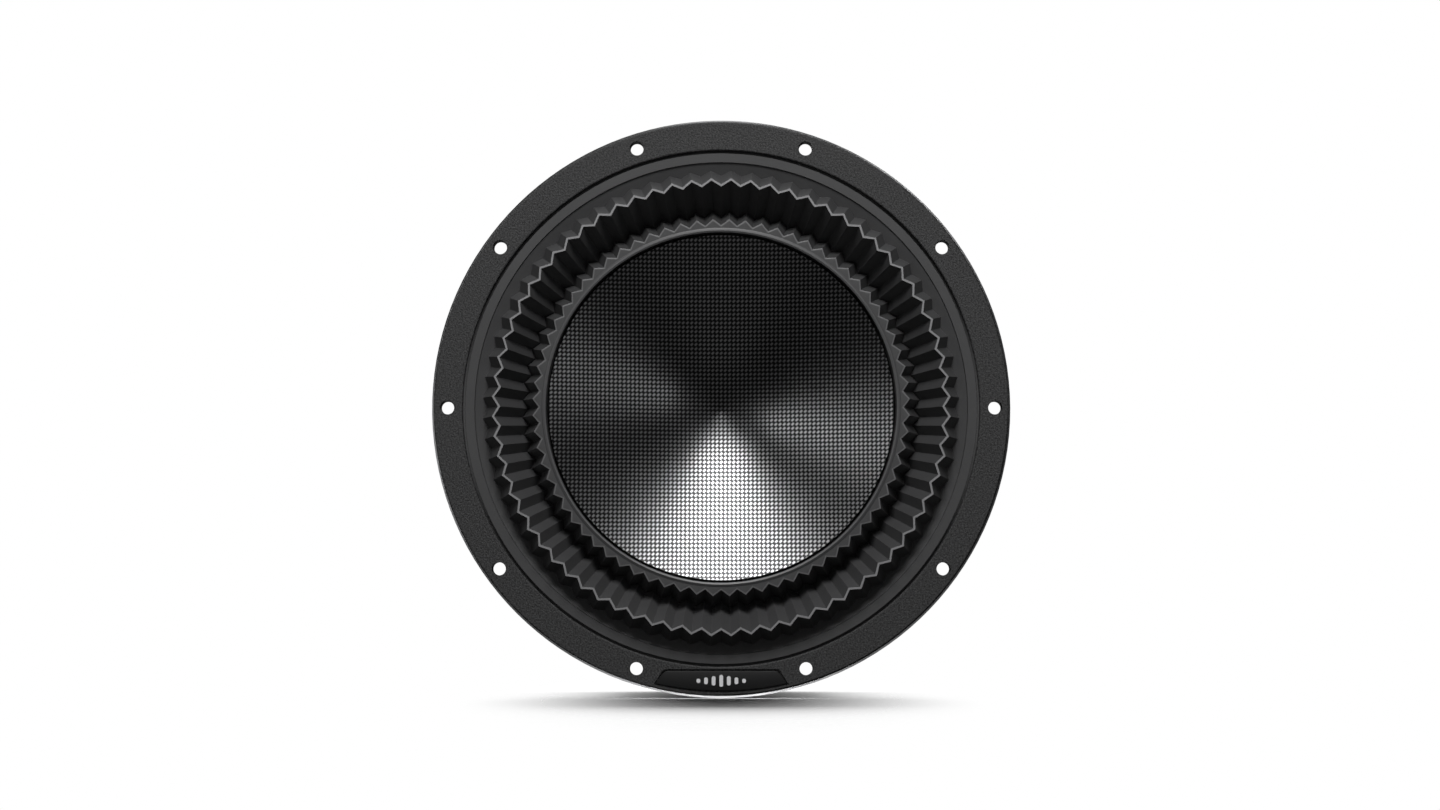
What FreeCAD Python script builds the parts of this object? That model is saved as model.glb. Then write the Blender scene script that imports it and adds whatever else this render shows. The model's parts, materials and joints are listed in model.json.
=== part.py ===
import FreeCAD, Part
import math
import os
from FreeCAD import Vector

# A 250 mm class car subwoofer driver, in millimetres.
# The driver's axis is Y. Its front faces -Y, its motor points to +Y, and +Z is up.
# The origin is on the axis, in the plane of the flange's rear face, which seats on the baffle.

# ---- flange and its fixing ----
flange_radius = 138.0
flange_thickness = 5.0
rim_chamfer = 0.9
bolt_count = 10
bolt_inset = 7.5             # bolt circle inwards from the flange's edge
bolt_hole_radius = 3.1
gasket_hole_radius = 3.4

# ---- front gasket and badge ----
rim_show = 1.0               # bare metal rim left outside the gasket
gasket_width = 13.9
gasket_thickness = 3.0
gasket_edge_round = 0.8
badge_top_half = 27.0        # half the length of the badge's flat upper edge
badge_side_run = 4.7         # how far each slanting side leans outwards
badge_inset = 2.1            # badge's outer arc inwards from the gasket's edge
badge_top_inset = 1.5        # badge's upper edge outwards from the gasket's inner edge
badge_corner = 2.5
badge_gap = 0.4
badge_pocket_depth = 1.4
badge_thickness = 1.6
emblem_bar_count = 7
emblem_bar_width = 1.8
emblem_bar_pitch = 3.6
emblem_bar_tallest = 5.6
emblem_bar_shortest = 2.0
emblem_relief = 0.3

# ---- surround, from its outer land inwards ----
land_gap = 0.6               # open line between gasket and surround
outer_land_width = 5.0
outer_land_thickness = 2.2
opening_margin = 0.5         # flange opening outwards from the land's inner edge
roll_thickness = 1.4
groove_width = 1.6           # flat bottom of the step beside the outer land
groove_run = 5.0             # from the land's inner edge to the groove's deepest point
ridge_run = 11.1             # from the land's inner edge to the ridge
valley_run = 23.8            # from the land's inner edge to the valley
inner_land_run = 29.0        # from the land's inner edge to the inner land's edge
inner_land_width = 5.3
inner_land_thickness = 3.0
bead_width = 2.0
bead_height = 0.7
groove_level = -3.6
ridge_level = -16.5
valley_level = 4.4
inner_land_level = -12.0     # front face of the inner land

# ---- cone ----
dish_gap = 0.6               # open line between the surround's bead and the dish
dish_edge_drop = 1.2         # dish edge behind the inner land's front face
dish_slope = 22.0            # degrees from the flange plane
dish_seat_width = 2.4        # flat glue land at the back of the dish's edge
dish_apex_radius = 58.0      # the middle of the dish is a wide bowl, not a point
cone_wall = 1.2
cone_rim_inset = 1.8         # cone rim inwards from the inner land's edge
neck_length = 6.0

# ---- voice coil and motor ----
former_inner_radius = 31.3
former_wall = 0.5
former_lead = 4.0            # former in front of the cone's neck
former_tail = 2.0            # former past the windings
winding_thickness = 1.1      # each of the two coils
coil_height = 30.0
cap_clearance = 0.8          # between pole cap and former
gap_clearance = 1.2          # between outer coil and top plate
pole_cap_wall = 0.5
pole_rise = 2.0              # pole in front of the top plate
vent_radius = 12.0
vent_flare_radius = 17.0
vent_flare_depth = 9.0
vent_screen_thickness = 0.6
vent_screen_ring = 1.6       # rim of the screen outside its holes
vent_screen_hole = 1.0
vent_screen_pitch = 2.9
house_depth = 20.0           # top plate's front face behind the spider's seat
top_plate_thickness = 10.0
top_plate_radius = 71.0
magnet_radius = 72.5
magnet_clearance = 11.0      # magnet bore outside the coil
magnet_thickness = 20.0
back_plate_thickness = 12.0
back_bump = 5.0
back_bump_radius = 57.0
shorting_ring_wall = 8.0
shorting_ring_height = 8.0
boot_wall = 2.6
boot_fit = 0.1
boot_lip_width = 11.0
boot_rear_round = 3.0

# ---- basket behind the flange ----
collar_wall = 2.5
collar_depth = 12.0
leg_wall = 3.8
leg_pairs = 5
leg_half_angle = 3.4
leg_pair_half_angle = 9.0
leg_rib_thickness = 3.0
leg_rib_height = 4.5
window_margin = 4.0
window_corner = 5.0
shelf_depth = 60.0
shelf_thickness = 3.5
shelf_clearance = 3.0        # basket wall outside the spider
house_wall = 3.2
house_vents = 10
house_vent_half_angle = 12.5
house_vent_margin = 1.6
seat_thickness = 4.0
seat_clearance = 6.0         # seat's bore outside the coil
motor_screw_count = 8
motor_screw_radius = 2.5
motor_screw_head_radius = 4.6
motor_screw_head_height = 2.8
motor_screw_grip = 8.0
motor_screw_socket = 1.6

# ---- spider ----
spider_outer_radius = 81.0
spider_land_width = 7.0
spider_thickness = 0.8
spider_half_waves = 9
spider_ring_thickness = 3.0
spider_glue_gap = 0.3        # glue line between spider and former
coupler_wall = 4.2
coupler_length = 13.2

# ---- push terminals ----
block_angles = {"left": 198.0, "right": 342.0}
block_radial = 20.0
block_width = 30.0
block_height = 15.0
block_reach = 16.5           # block's outer face past the shelf's edge
block_wall = 2.0
block_edge = 1.0
tab_thickness = 3.5
cavity_width = 8.4
cavity_height = 7.4
cavity_spacing = 15.0
plunger_clearance = 0.2
plunger_length = 9.0
button_cap_height = 4.5
button_cap_round = 1.2
button_travel = 4.0
wire_hole_radius = 1.9
wire_hole_inset = 6.5        # wire hole inwards from the block's outer face
tag_thickness = 0.8
tag_width = 3.0
tag_length = 6.0             # tag outside the block
tag_root = 1.5               # tag inside the block's wall
spring_radius = 2.6
spring_wall = 0.7
block_screw_radius = 1.5
block_screw_head_radius = 2.8
block_screw_head_height = 1.8
block_screw_length = 8.0

# ---- tinsel leads ----
lead_radius = 1.0
lead_gap = 0.3
lead_sag = 7.0               # how far a lead bows forwards between its ends
lead_coupler_inset = 4.5     # lead's inner end in front of the coupler's rear end

AXIS = Vector(0, 1, 0)
ORIGIN = Vector(0, 0, 0)

# ---- radii and levels worked out from the sizes above ----
flange_front = -flange_thickness
bolt_radius = flange_radius - bolt_inset
gasket_outer = flange_radius - rim_show
gasket_inner = gasket_outer - gasket_width
gasket_front = flange_front - gasket_thickness
land_outer = gasket_inner - land_gap
land_inner = land_outer - outer_land_width
land_front = flange_front - outer_land_thickness
opening_radius = land_inner + opening_margin
collar_radius = opening_radius + collar_wall
inner_land_outer = land_inner - inner_land_run
inner_land_inner = inner_land_outer - inner_land_width
inner_land_back = inner_land_level + inner_land_thickness
dish_radius = inner_land_inner - dish_gap
dish_edge = inner_land_level + dish_edge_drop
cone_rim_radius = inner_land_outer - cone_rim_inset
former_outer_radius = former_inner_radius + former_wall
motor_depth = shelf_depth + house_depth
coil_inner_outer_radius = former_outer_radius + winding_thickness
coil_radius = coil_inner_outer_radius + winding_thickness
top_plate_back = motor_depth + top_plate_thickness
coil_start = motor_depth + (top_plate_thickness - coil_height) / 2
coil_end = coil_start + coil_height
former_end = coil_end + former_tail
pole_cap_radius = former_inner_radius - cap_clearance
pole_radius = pole_cap_radius - pole_cap_wall
magnet_bore = coil_radius + magnet_clearance
magnet_middle = top_plate_back + magnet_thickness
back_plate_front = magnet_middle + magnet_thickness
back_plate_rear = back_plate_front + back_plate_thickness
rear_face = back_plate_rear + back_bump
spider_level = shelf_depth - spider_thickness
coupler_end = spider_level
coupler_start = coupler_end - coupler_length
neck_start = coupler_start - neck_length
former_front = neck_start - former_lead
shelf_front = shelf_depth + spider_ring_thickness
shelf_back = shelf_front + shelf_thickness
shelf_outer = spider_outer_radius + shelf_clearance + leg_wall
spider_land_inner = spider_outer_radius - spider_land_width
coupler_radius = former_outer_radius + coupler_wall
seat_bore = coil_radius + seat_clearance
boot_inner = magnet_radius + boot_fit
boot_outer = boot_inner + boot_wall
house_outer = boot_outer
screw_circle = (seat_bore + house_outer - house_wall) / 2
block_outer = shelf_outer + block_reach
block_inner = block_outer - block_radial
window_start = collar_depth + window_margin
window_end = shelf_front - window_margin
block_back = window_end
block_front = block_back - block_height
block_middle = (block_front + block_back) / 2


def at(radius, depth):
    """A point of a profile: distance from the axis, and depth behind the seat plane."""
    return Vector(radius, depth, 0)


def revolved(points):
    """A full turn of a closed outline of (radius, depth) points about the driver's axis."""
    outline = [at(r, y) for r, y in points]
    return Part.Face(Part.makePolygon(outline + outline[:1])).revolve(ORIGIN, AXIS, 360)


def ring(inner, outer, front, back):
    return revolved([(inner, front), (outer, front), (outer, back), (inner, back)])


def turned(shape, angle):
    """The shape moved round the axis, from +X towards +Z, by angle in degrees."""
    copy = shape.copy()
    copy.rotate(ORIGIN, Vector(0, -1, 0), angle)
    return copy


def around(shape, angles):
    return [turned(shape, angle) for angle in angles]


def block_at(inner, outer, front, back, width, middle=0.0):
    """A block on the +X side: its radial span, its depth span and its width along Z."""
    corner = Vector(inner, front, middle - width / 2)
    return Part.makeBox(outer - inner, back - front, width, corner)


def sector(inner, outer, front, back, half_angle, corner=0.0):
    """A slice of a ring centred on +X, with its radial corner edges rounded if asked."""
    outline = [at(inner, front), at(outer, front), at(outer, back), at(inner, back)]
    face = Part.Face(Part.makePolygon(outline + outline[:1]))
    slice_ = turned(face.revolve(ORIGIN, AXIS, 2 * half_angle), half_angle)
    if corner:
        edges = [e for e in slice_.Edges if e.Curve.TypeId == "Part::GeomLine" and abs(
            e.Vertexes[0].Point.y - e.Vertexes[1].Point.y) < 1e-6]
        slice_ = slice_.makeFillet(corner, edges)
    return slice_


def rod(radius, front, back, distance, side=0.0):
    """A round bar parallel to the axis, on the +X side, from front to back."""
    return Part.makeCylinder(radius, back - front, Vector(distance, front, side), AXIS)


def round_edges(shape, radius, chosen):
    return shape.makeFillet(radius, [e for e in shape.Edges if chosen(e)])


def shell_outline(centreline, thickness):
    """A closed outline that runs at half the thickness on each side of a line of points."""
    sides = []
    for sign in (1, -1):
        side = []
        for i, (r, y) in enumerate(centreline):
            before = centreline[max(i - 1, 0)]
            after = centreline[min(i + 1, len(centreline) - 1)]
            normals = []
            for a, b in ((before, (r, y)), ((r, y), after)):
                length = math.hypot(b[0] - a[0], b[1] - a[1])
                if length:
                    normals.append(((b[1] - a[1]) / length, -(b[0] - a[0]) / length))
            nr = sum(n[0] for n in normals) / len(normals)
            ny = sum(n[1] for n in normals) / len(normals)
            stretch = sign * thickness / 2 / (nr * nr + ny * ny)
            side.append((r + nr * stretch, y + ny * stretch))
        sides.append(side)
    return sides[0] + sides[1][::-1]


def make_basket():
    body = revolved([
        (opening_radius, flange_front),
        (flange_radius - rim_chamfer, flange_front),
        (flange_radius, flange_front + rim_chamfer),
        (flange_radius, 0),
        (collar_radius, 0),
        (collar_radius, collar_depth),
        (shelf_outer, shelf_front),
        (shelf_outer, shelf_back),
        (house_outer, shelf_back),
        (house_outer, motor_depth),
        (seat_bore, motor_depth),
        (seat_bore, motor_depth - seat_thickness),
        (house_outer - house_wall, motor_depth - seat_thickness),
        (house_outer - house_wall, shelf_front),
        (shelf_outer - leg_wall, shelf_front),
        (opening_radius, collar_depth),
    ])
    pair_angles = [90 + 360 / leg_pairs * k for k in range(leg_pairs)]
    wide_half = 180 / leg_pairs - leg_pair_half_angle - leg_half_angle
    narrow_half = leg_pair_half_angle - leg_half_angle
    reach_in = spider_outer_radius
    wide = sector(reach_in, flange_radius, window_start, window_end, wide_half, window_corner)
    narrow = sector(reach_in, flange_radius, window_start, window_end, narrow_half, window_corner)
    vent = sector(seat_bore, house_outer + 1, shelf_back + house_vent_margin,
                  motor_depth - seat_thickness - house_vent_margin, house_vent_half_angle)
    cuts = around(wide, [a + 180 / leg_pairs for a in pair_angles])
    cuts += around(narrow, pair_angles)
    cuts += around(vent, [360 / house_vents * k for k in range(house_vents)])
    cuts += around(rod(bolt_hole_radius, flange_front - 1, 1, bolt_radius),
                   [360 / bolt_count * k for k in range(bolt_count)])
    cuts += around(rod(motor_screw_radius, motor_depth - seat_thickness - 1, motor_depth + 1,
                       screw_circle), motor_screw_angles())
    body = body.cut(cuts)
    rib = leg_rib()
    legs = [a + s * leg_pair_half_angle for a in pair_angles for s in (-1, 1)]
    tab = block_at(shelf_outer - leg_wall, block_outer, block_back, block_back + tab_thickness,
                   block_width).cut(rod(block_screw_radius, block_back - 1,
                                        block_back + tab_thickness + 1, block_screw_distance()))
    tab = round_edges(tab, window_corner, lambda e: e.Curve.TypeId == "Part::GeomLine"
                      and abs(e.Vertexes[0].X - block_outer) < 1e-6
                      and abs(e.Vertexes[1].X - block_outer) < 1e-6
                      and abs(e.Vertexes[0].Z - e.Vertexes[1].Z) < 1e-6)
    extras = around(rib, legs) + around(tab, block_angles.values())
    return body.fuse(extras).removeSplitter()


def leg_rib():
    """The stiffening rib on the outside of one leg, on the +X side."""
    run = collar_radius - shelf_outer
    fall = shelf_front - collar_depth
    slant = math.hypot(run, fall)
    out_r = leg_rib_height * fall / slant
    outline = [
        at(collar_radius - collar_wall / 2, collar_depth / 3),
        at(collar_radius, collar_depth / 3),
        at(collar_radius, collar_depth + out_r),
        at(shelf_outer + out_r, shelf_front),
        at(shelf_outer + out_r, shelf_back),
        at(shelf_outer - leg_wall / 2, shelf_back),
        at(shelf_outer - leg_wall / 2, shelf_front),
        at(collar_radius - collar_wall / 2, collar_depth),
    ]
    face = Part.Face(Part.makePolygon(outline + outline[:1]))
    face.translate(Vector(0, 0, -leg_rib_thickness / 2))
    return face.extrude(Vector(0, 0, leg_rib_thickness))


def motor_screw_angles():
    return [360 / motor_screw_count * (k + 0.5) for k in range(motor_screw_count)]


def make_basket_screws():
    head_front = motor_depth - seat_thickness - motor_screw_head_height
    head = rod(motor_screw_head_radius, head_front, motor_depth - seat_thickness, screw_circle)
    head = round_edges(head, motor_screw_head_height / 2, lambda e: e.Curve.TypeId ==
                       "Part::GeomCircle" and abs(e.Curve.Center.y - head_front) < 1e-6)
    shank = rod(motor_screw_radius, motor_depth - seat_thickness, motor_depth + motor_screw_grip,
                screw_circle)
    socket = rod(motor_screw_socket, head_front - 1, head_front + motor_screw_head_height * 0.7,
                 screw_circle)
    screw = head.fuse(shank).cut(socket)
    return Part.makeCompound(around(screw, motor_screw_angles()))


def badge_outline(gap, depth):
    """The badge's outline in the flange plane at a depth, grown by gap on every side."""
    arc_radius = gasket_outer - badge_inset + gap
    top_height = -(gasket_inner + badge_top_inset) + gap
    top_half = badge_top_half + gap
    bottom_half = badge_top_half + badge_side_run + gap
    bottom_height = -math.sqrt(arc_radius ** 2 - bottom_half ** 2)
    top_left = Vector(-top_half, depth, top_height)
    top_right = Vector(top_half, depth, top_height)
    low_right = Vector(bottom_half, depth, bottom_height)
    low_left = Vector(-bottom_half, depth, bottom_height)
    bottom = Part.Arc(low_right, Vector(0, depth, -arc_radius), low_left).toShape()
    edges = [Part.makeLine(top_left, top_right), Part.makeLine(top_right, low_right), bottom,
             Part.makeLine(low_left, top_left)]
    return Part.Face(Part.Wire(edges))


def badge_solid(gap, front, back):
    solid = badge_outline(gap, front).extrude(Vector(0, back - front, 0))
    return round_edges(solid, badge_corner, lambda e: e.Curve.TypeId == "Part::GeomLine"
                       and abs(e.Vertexes[0].X - e.Vertexes[1].X) < 1e-6
                       and abs(e.Vertexes[0].Z - e.Vertexes[1].Z) < 1e-6
                       and abs(abs(e.Vertexes[0].X) - badge_top_half - gap) < 1e-6)


def make_front_gasket():
    body = ring(gasket_inner, gasket_outer, gasket_front, flange_front)
    body = round_edges(body, gasket_edge_round, lambda e: e.Curve.TypeId == "Part::GeomCircle"
                       and abs(e.Curve.Center.y - gasket_front) < 1e-6)
    holes = around(rod(gasket_hole_radius, gasket_front - 1, flange_front + 1, bolt_radius),
                   [360 / bolt_count * k for k in range(bolt_count)])
    pocket = badge_solid(badge_gap, gasket_front - 1, gasket_front + badge_pocket_depth)
    return body.cut(holes + [pocket])


def make_badge_plate():
    back = gasket_front + badge_pocket_depth
    return badge_solid(0.0, back - badge_thickness, back)


def make_badge_emblem():
    """A row of level bars, tallest in the middle, standing on the badge plate."""
    face = gasket_front + badge_pocket_depth - badge_thickness
    middle_height = -(gasket_inner + badge_top_inset + gasket_outer - badge_inset) / 2
    middle = (emblem_bar_count - 1) / 2
    bars = []
    for k in range(emblem_bar_count):
        share = 1 - abs(k - middle) / middle
        tall = emblem_bar_shortest + share * (emblem_bar_tallest - emblem_bar_shortest)
        corner = Vector((k - middle) * emblem_bar_pitch - emblem_bar_width / 2,
                        face - emblem_relief, middle_height - tall / 2)
        bar = Part.makeBox(emblem_bar_width, emblem_relief, tall, corner)
        bars.append(round_edges(bar, emblem_bar_width * 0.45, lambda e: abs(
            e.Vertexes[0].Y - e.Vertexes[1].Y) > 1e-6))
    return Part.makeCompound(bars)


def make_surround():
    roll = [
        (land_inner + opening_margin / 2, flange_front - roll_thickness / 2),
        (land_inner - groove_width, flange_front - roll_thickness / 2),
        (land_inner - groove_run, groove_level),
        (land_inner - ridge_run, ridge_level),
        (land_inner - valley_run, valley_level),
        (inner_land_outer - roll_thickness / 2, inner_land_level + roll_thickness),
    ]
    outer_land = ring(land_inner, land_outer, land_front, flange_front)
    inner_land = ring(inner_land_inner, inner_land_outer, inner_land_level, inner_land_back)
    crown = inner_land_inner + bead_width / 2
    bead_edges = [
        Part.Arc(at(inner_land_inner, inner_land_level), at(crown, inner_land_level - bead_height),
                 at(inner_land_inner + bead_width, inner_land_level)).toShape(),
        Part.makeLine(at(inner_land_inner + bead_width, inner_land_level),
                      at(inner_land_inner + bead_width, inner_land_back)),
        Part.makeLine(at(inner_land_inner + bead_width, inner_land_back),
                      at(inner_land_inner, inner_land_back)),
        Part.makeLine(at(inner_land_inner, inner_land_back),
                      at(inner_land_inner, inner_land_level)),
    ]
    bead = Part.Face(Part.Wire(bead_edges)).revolve(ORIGIN, AXIS, 360)
    roll_body = revolved(shell_outline(roll, roll_thickness))
    return outer_land.fuse([roll_body, inner_land, bead]).removeSplitter()


def make_cone_dish():
    """The shallow front dish: a straight cone with a rounded apex and a flat seat at its edge."""
    slope = math.radians(dish_slope)
    seat_inner = dish_radius - dish_seat_width
    rise = seat_inner * math.tan(slope)
    edges = []
    apexes = []
    tangents = []
    starts = [at(dish_radius, dish_edge), at(seat_inner, inner_land_back)]
    for start in starts:
        touch = dish_apex_radius * math.sin(slope)
        level = start.y + (start.x - touch) * math.tan(slope)
        apex = level + dish_apex_radius * (1 - math.cos(slope))
        halfway = dish_apex_radius * math.sin(slope / 2)
        middle = apex - dish_apex_radius * (1 - math.cos(slope / 2))
        tangents.append(at(touch, level))
        apexes.append(at(0, apex))
        edges.append(Part.makeLine(start, at(touch, level)))
        edges.append(Part.Arc(at(touch, level), at(halfway, middle), at(0, apex)).toShape())
    edges.append(Part.makeLine(apexes[0], apexes[1]))
    edges.append(Part.makeLine(starts[0], at(dish_radius, inner_land_back)))
    edges.append(Part.makeLine(at(dish_radius, inner_land_back), starts[1]))
    wire = Part.Wire(Part.__sortEdges__(edges))
    return Part.Face(wire).revolve(ORIGIN, AXIS, 360)


def make_cone_body():
    """The load-bearing cone: a flat rim under the surround, a straight wall and a glued neck."""
    rim_inner = dish_radius - dish_seat_width
    return revolved([
        (cone_rim_radius, inner_land_back),
        (rim_inner, inner_land_back),
        (former_outer_radius, neck_start),
        (former_outer_radius, coupler_start),
        (former_outer_radius + cone_wall, coupler_start),
        (former_outer_radius + cone_wall, neck_start + cone_wall / 2),
        (rim_inner + cone_wall, inner_land_back + cone_wall),
        (cone_rim_radius, inner_land_back + cone_wall),
    ])


def make_coupler_ring():
    """The collar between cone neck and spider, with a seat for each lead's inner end."""
    body = ring(former_outer_radius, coupler_radius, coupler_start, coupler_end)
    return round_edges(body, coupler_wall / 3, lambda e: e.Curve.TypeId == "Part::GeomCircle"
                       and abs(e.Curve.Radius - coupler_radius) < 1e-6
                       and abs(e.Curve.Center.y - coupler_start) < 1e-6)


def wave_width():
    return (spider_land_inner - coupler_radius - spider_thickness) / spider_half_waves


def make_spider():
    """A corrugated disc of half-round waves between two flat lands."""
    first = spider_land_inner - spider_half_waves * wave_width()
    half = spider_thickness / 2
    lines = {-half: [], half: []}
    for k in range(spider_half_waves):
        bulge = -1 if k % 2 else 1
        centre = first + (k + 0.5) * wave_width()
        for side, line in lines.items():
            reach = wave_width() / 2 + side * bulge
            line.append(Part.Arc(at(centre - reach, shelf_depth),
                                 at(centre, shelf_depth + bulge * reach),
                                 at(centre + reach, shelf_depth)).toShape())
    inner_edge = former_outer_radius + spider_glue_gap
    inner_land = [at(first - half, shelf_depth), at(inner_edge, shelf_depth),
                  at(inner_edge, spider_level), at(first + half, spider_level),
                  at(first + half, shelf_depth)]
    outer_land = [at(spider_land_inner - half, shelf_depth),
                  at(spider_land_inner - half, spider_level),
                  at(spider_outer_radius, spider_level), at(spider_outer_radius, shelf_depth),
                  at(spider_land_inner + half, shelf_depth)]
    edges = lines[-half] + lines[half]
    for corners in (inner_land, outer_land):
        edges += [Part.makeLine(a, b) for a, b in zip(corners, corners[1:])]
    wire = Part.Wire(Part.__sortEdges__(edges))
    return Part.Face(wire).revolve(ORIGIN, AXIS, 360)


def make_top_plate():
    holes = around(rod(motor_screw_radius, motor_depth - 1, motor_depth + motor_screw_grip,
                       screw_circle), motor_screw_angles())
    return ring(coil_radius + gap_clearance, top_plate_radius, motor_depth,
                top_plate_back).cut(holes)


def make_t_yoke():
    """Back plate and vented pole in one turned piece."""
    pole_front = motor_depth - pole_rise
    screen_front = rear_face - vent_flare_depth
    screen_back = screen_front + vent_screen_thickness
    return revolved([
        (vent_radius, pole_front),
        (pole_radius, pole_front),
        (pole_radius, back_plate_front),
        (top_plate_radius, back_plate_front),
        (top_plate_radius, back_plate_rear),
        (back_bump_radius, back_plate_rear),
        (back_bump_radius - back_bump, rear_face),
        (vent_flare_radius, rear_face),
        (vent_radius + vent_screen_ring / 2, screen_back),
        (vent_radius + vent_screen_ring / 2, screen_front),
        (vent_radius, screen_front),
    ])


def make_vent_screen():
    """A thin disc with a hexagonal field of holes inside its plain rim."""
    front = rear_face - vent_flare_depth
    back = front + vent_screen_thickness
    radius = vent_radius + vent_screen_ring / 2
    field = vent_radius - vent_screen_ring - vent_screen_hole
    row_pitch = vent_screen_pitch * math.sqrt(3) / 2
    rows = int(field / row_pitch)
    holes = []
    for row in range(-rows, rows + 1):
        shift = vent_screen_pitch / 2 * (row % 2)
        columns = int(field / vent_screen_pitch) + 1
        for column in range(-columns, columns + 1):
            x = column * vent_screen_pitch + shift
            z = row * row_pitch
            if math.hypot(x, z) <= field:
                holes.append(rod(vent_screen_hole, front - 1, back + 1, x, z))
    return ring(0, radius, front, back).cut(holes)


def make_magnet_boot():
    lip_back = back_plate_rear + boot_wall
    body = revolved([
        (boot_inner, motor_depth),
        (boot_outer, motor_depth),
        (boot_outer, lip_back),
        (boot_outer - boot_lip_width, lip_back),
        (boot_outer - boot_lip_width, back_plate_rear),
        (boot_inner, back_plate_rear),
    ])
    return round_edges(body, boot_rear_round, lambda e: e.Curve.TypeId == "Part::GeomCircle"
                       and abs(e.Curve.Radius - boot_outer) < 1e-6
                       and abs(e.Curve.Center.y - lip_back) < 1e-6)


def block_screw_distance():
    return (block_inner + block_outer) / 2


def make_terminal_block():
    """A moulded block with two button shafts open at its outer face, on the +X side."""
    body = block_at(block_inner, block_outer, block_front, block_back, block_width)
    body = round_edges(body, block_edge, lambda e: e.Curve.TypeId == "Part::GeomLine"
                       and e.BoundBox.YMin < block_back - 1e-6)
    cuts = [rod(block_screw_radius, block_back - block_screw_length, block_back + 1,
                block_screw_distance())]
    for side in (-cavity_spacing / 2, cavity_spacing / 2):
        cuts.append(block_at(block_inner + block_wall, block_outer + 1,
                             block_middle - cavity_height / 2, block_middle + cavity_height / 2,
                             cavity_width, side))
        cuts.append(rod(wire_hole_radius, block_front - 1, block_middle,
                        block_outer - wire_hole_inset, side))
        cuts.append(solder_tag(side))
    return body.cut(cuts)


def solder_tag(side):
    return block_at(block_inner - tag_length, block_inner + tag_root,
                    block_middle - tag_thickness / 2, block_middle + tag_thickness / 2,
                    tag_width, side)


def make_button(side):
    """A push button: its stem in the shaft, with a wire hole that lines up when pressed."""
    stem_width = cavity_width - 2 * plunger_clearance
    stem_height = cavity_height - 2 * plunger_clearance
    low = block_middle - stem_height / 2
    body = block_at(block_outer - plunger_length, block_outer + button_cap_height, low,
                    low + stem_height, stem_width, side)
    body = round_edges(body, button_cap_round, lambda e: e.BoundBox.XMin
                       > block_outer + button_cap_height - 1e-6)
    hole = rod(wire_hole_radius, low - 1, low + stem_height + 1,
               block_outer - wire_hole_inset + button_travel, side)
    return body.cut(hole)


def make_button_spring(side):
    """The space of one return spring: a short tube between shaft bottom and button stem."""
    start = Vector(block_inner + block_wall, block_middle, side)
    length = block_radial - block_wall - plunger_length
    outside = Part.makeCylinder(spring_radius, length, start, Vector(1, 0, 0))
    inside = Part.makeCylinder(spring_radius - spring_wall, length, start, Vector(1, 0, 0))
    return outside.cut(inside)


def make_block_screw():
    tab_back = block_back + tab_thickness
    head = rod(block_screw_head_radius, tab_back, tab_back + block_screw_head_height,
               block_screw_distance())
    head = round_edges(head, block_screw_head_height / 2, lambda e: e.BoundBox.YMin
                       > tab_back + block_screw_head_height - 1e-6)
    shank = rod(block_screw_radius, block_back - block_screw_length, tab_back,
                block_screw_distance())
    return head.fuse(shank)


def make_lead(side):
    """One lead: an arc bowed forwards, trimmed to the coupler's curve and the tag's end."""
    tag_end = block_inner - tag_length
    start = Vector(coupler_radius - lead_radius, coupler_end - lead_coupler_inset, side)
    end = Vector(tag_end + lead_radius, block_middle, side)
    arc = Part.Arc(start, (start + end) * 0.5 - AXIS * lead_sag, end).toShape()
    profile = Part.Wire(Part.makeCircle(lead_radius, start, arc.tangentAt(arc.FirstParameter)))
    lead = Part.Wire(arc).makePipeShell([profile], True, False)
    past_tag = block_at(tag_end, block_inner, block_front, block_back, block_width)
    return lead.cut([ring(0, coupler_radius + lead_gap, coupler_start, coupler_end), past_tag])


def put_blocks():
    """Everything that comes once for each terminal block, or once for each of its buttons."""
    pieces = {}
    sides = {"lower": -1, "upper": 1}
    for place, angle in block_angles.items():
        # on the left block, +Z before the turn ends up at the lower button
        flip = -1 if place == "left" else 1
        pieces["terminal_block_" + place] = turned(make_terminal_block(), angle)
        tags, leads = [], []
        for level, sign in sides.items():
            side = sign * flip * cavity_spacing / 2
            name = place + "_" + level
            pieces["button_" + name] = turned(make_button(side), angle)
            pieces["spring_" + name] = turned(make_button_spring(side), angle)
            tags.append(turned(solder_tag(side), angle))
            leads.append(turned(make_lead(side), angle))
        pieces["solder_tags_" + place] = Part.makeCompound(tags)
        pieces["tinsel_leads_" + place] = Part.makeCompound(leads)
    pieces["block_screws"] = Part.makeCompound(around(make_block_screw(), block_angles.values()))
    return pieces


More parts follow.
